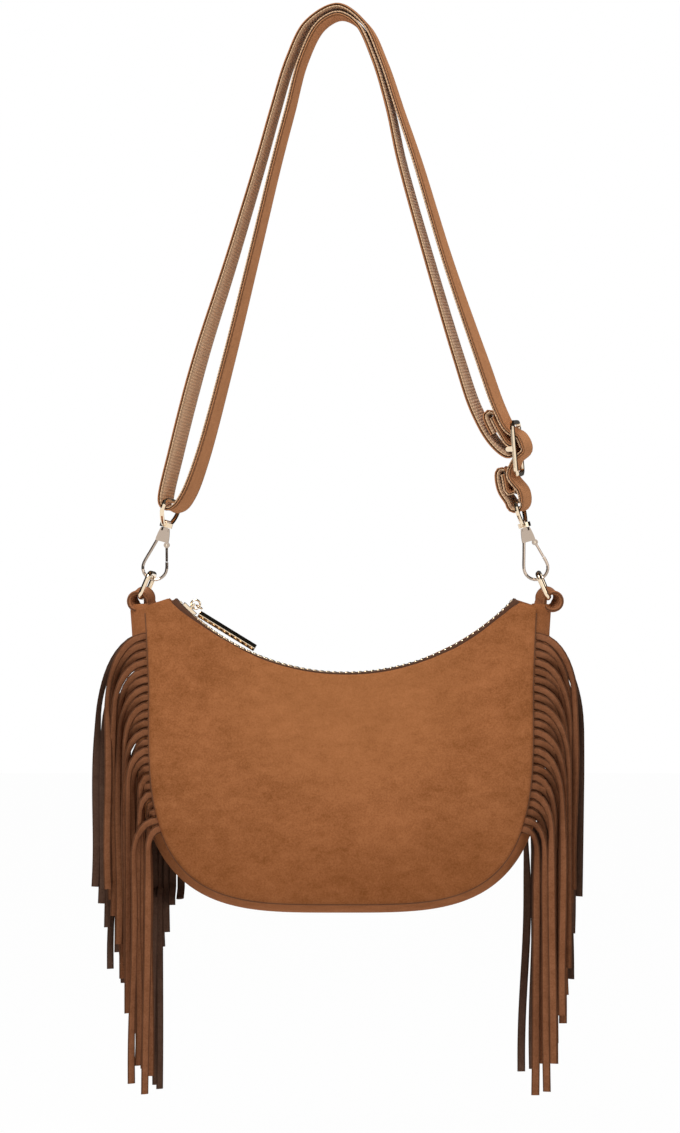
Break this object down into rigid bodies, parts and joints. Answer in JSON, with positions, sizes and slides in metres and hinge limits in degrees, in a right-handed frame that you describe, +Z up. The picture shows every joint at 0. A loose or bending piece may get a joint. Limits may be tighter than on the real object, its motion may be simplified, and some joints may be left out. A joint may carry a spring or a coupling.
{
  "type": "fringed shoulder bag",
  "caption": "Crescent suede shoulder bag with fringed side seams, a zip along its hollow top edge and a long adjustable webbing strap on swivel snap hooks.",
  "frame": {"origin": "Underside of the strap at its crest, in the middle of its width, where a shoulder or a peg carries the bag", "axes": "+X to the right of the front, +Y from the front to the back, +Z up along the hanging bag"},
  "size_m": [0.2912, 0.0702, 0.6568],
  "materials": {
    "suede": "soft suede nap, tan brown",
    "dark_suede": "soft suede nap, dark brown",
    "webbing": "woven ribbed webbing",
    "lining_cloth": "plain cloth",
    "tape_cloth": "woven zip tape",
    "gold": "polished pale gold plate"
  },
  "bodies": {
    "bag": {"front_panel": "suede", "back_panel": "suede", "lining": "lining_cloth", "gusset": "suede", "left_front_fringe": "suede", "left_back_fringe": "dark_suede", "right_front_fringe": "suede", "right_back_fringe": "dark_suede", "front_zip_tape": "tape_cloth", "back_zip_tape": "tape_cloth", "front_zip_teeth": "gold", "back_zip_teeth": "gold", "front_top_stop": "gold", "back_top_stop": "gold", "bottom_stop": "gold", "left_zip_end": "suede", "right_zip_end": "suede", "left_tab": "suede", "right_tab": "suede", "left_eye": "gold", "right_eye": "gold", "strap_suede": "suede", "strap_webbing": "webbing", "slide_buckle": "gold"},
    "slider": {"zip_slider": "gold"},
    "puller_ring": {"puller_ring": "gold"},
    "puller_bar": {"puller_bar": "gold"},
    "left_ring": {"left_ring": "gold"},
    "right_ring": {"right_ring": "gold"},
    "left_hook": {"left_hook": "gold", "left_gate_pin": "gold"},
    "right_hook": {"right_hook": "gold", "right_gate_pin": "gold"},
    "left_gate": {"left_gate": "gold"},
    "right_gate": {"right_gate": "gold"}
  },
  "joints": [
    {"name": "zip_slide", "type": "hinge", "parent": "bag", "child": "slider", "pos_m": [0.0032, 0, -0.254], "axis": [0, -1, 0], "range_deg": [0, 70], "deforming": ["front_zip_teeth", "back_zip_teeth", "front_zip_tape", "back_zip_tape"]},
    {"name": "puller_ring_flip", "type": "hinge", "parent": "slider", "child": "puller_ring", "pos_m": [-0.08753, 0, -0.35062], "axis": [0, -1, 0], "range_deg": [0, 90]},
    {"name": "puller_bar_swing", "type": "hinge", "parent": "puller_ring", "child": "puller_bar", "pos_m": [-0.08663, 0, -0.35059], "axis": [0, -1, 0], "range_deg": [0, 40]},
    {"name": "left_ring_swing", "type": "hinge", "parent": "bag", "child": "left_ring", "pos_m": [-0.11871, 0, -0.34645], "axis": [0, 1, 0], "range_deg": [-5, 5]},
    {"name": "right_ring_swing", "type": "hinge", "parent": "bag", "child": "right_ring", "pos_m": [0.12511, 0, -0.34645], "axis": [0, 1, 0], "range_deg": [-5, 5]},
    {"name": "left_hook_swivel", "type": "hinge", "parent": "bag", "child": "left_hook", "pos_m": [-0.10472, 0, -0.30464], "axis": [0.2588, 0, 0.9659], "range_deg": [-30, 30]},
    {"name": "right_hook_swivel", "type": "hinge", "parent": "bag", "child": "right_hook", "pos_m": [0.11112, 0, -0.30464], "axis": [-0.2588, 0, 0.9659], "range_deg": [-30, 30]},
    {"name": "left_gate_hinge", "type": "hinge", "parent": "left_hook", "child": "left_gate", "pos_m": [-0.10399, 0, -0.31508], "axis": [0, 1, 0], "range_deg": [0, 25], "stiffness_Nm_per_rad": 0.02, "springref_deg": -5.73},
    {"name": "right_gate_hinge", "type": "hinge", "parent": "right_hook", "child": "right_gate", "pos_m": [0.11696, 0, -0.31332], "axis": [0, 1, 0], "range_deg": [0, 25], "stiffness_Nm_per_rad": 0.02, "springref_deg": -5.73}
  ]
}
